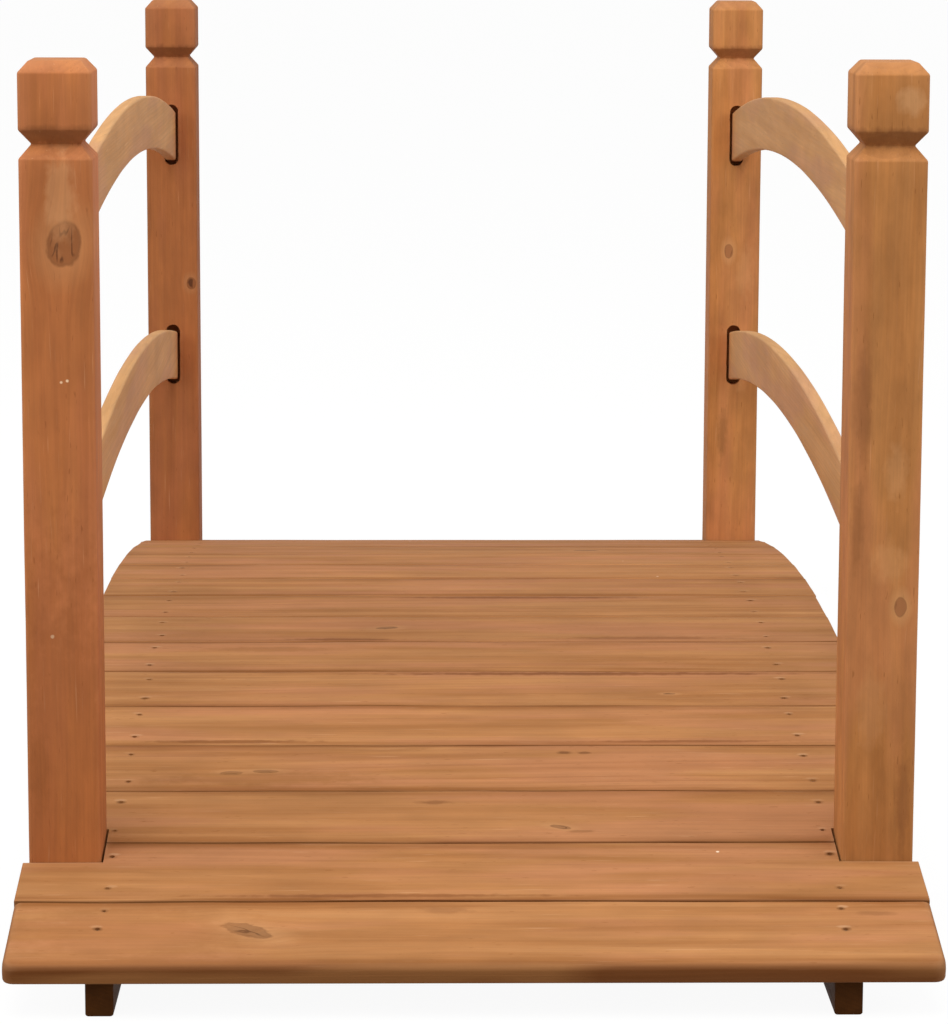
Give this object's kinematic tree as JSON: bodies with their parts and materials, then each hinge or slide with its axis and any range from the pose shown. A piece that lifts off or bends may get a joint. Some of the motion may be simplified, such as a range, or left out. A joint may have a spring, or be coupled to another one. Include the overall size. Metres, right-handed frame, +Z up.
{
  "type": "moon bridge",
  "caption": "Small bowed garden footbridge of stained timber: straight cross boards on arched side beams, square capped posts and arched hand rails let into the posts.",
  "frame": {"origin": "centre of the footprint, on the floor the bridge stands on", "axes": "+X across the walkway to the right of someone walking on from the front, +Y along the bridge to its rear end, +Z up"},
  "size_m": [0.6, 1.3998, 0.6],
  "materials": {
    "deck_timber": "honey brown stain on planed fir, fine grain lines across the walkway",
    "post_timber": "red brown stain on planed fir, grain upright",
    "rail_timber": "lighter honey stain on sawn and sanded fir, grain along the rail",
    "beam_timber": "darker brown stain on sawn fir"
  },
  "bodies": {
    "root": {"beam_left": "beam_timber", "beam_right": "beam_timber", "deck_board_01": "deck_timber", "deck_board_02": "deck_timber", "deck_board_03": "deck_timber", "deck_board_04": "deck_timber", "deck_board_05": "deck_timber", "deck_board_06": "deck_timber", "deck_board_07": "deck_timber", "deck_board_08": "deck_timber", "deck_board_09": "deck_timber", "deck_board_10": "deck_timber", "deck_board_11": "deck_timber", "deck_board_12": "deck_timber", "deck_board_13": "deck_timber", "deck_board_14": "deck_timber", "deck_board_15": "deck_timber", "deck_board_16": "deck_timber", "deck_board_17": "deck_timber", "post_front_left": "post_timber", "post_front_right": "post_timber", "post_rear_left": "post_timber", "post_rear_right": "post_timber", "rail_lower_left": "rail_timber", "rail_lower_right": "rail_timber", "rail_upper_left": "rail_timber", "rail_upper_right": "rail_timber"}
  },
  "joints": []
}
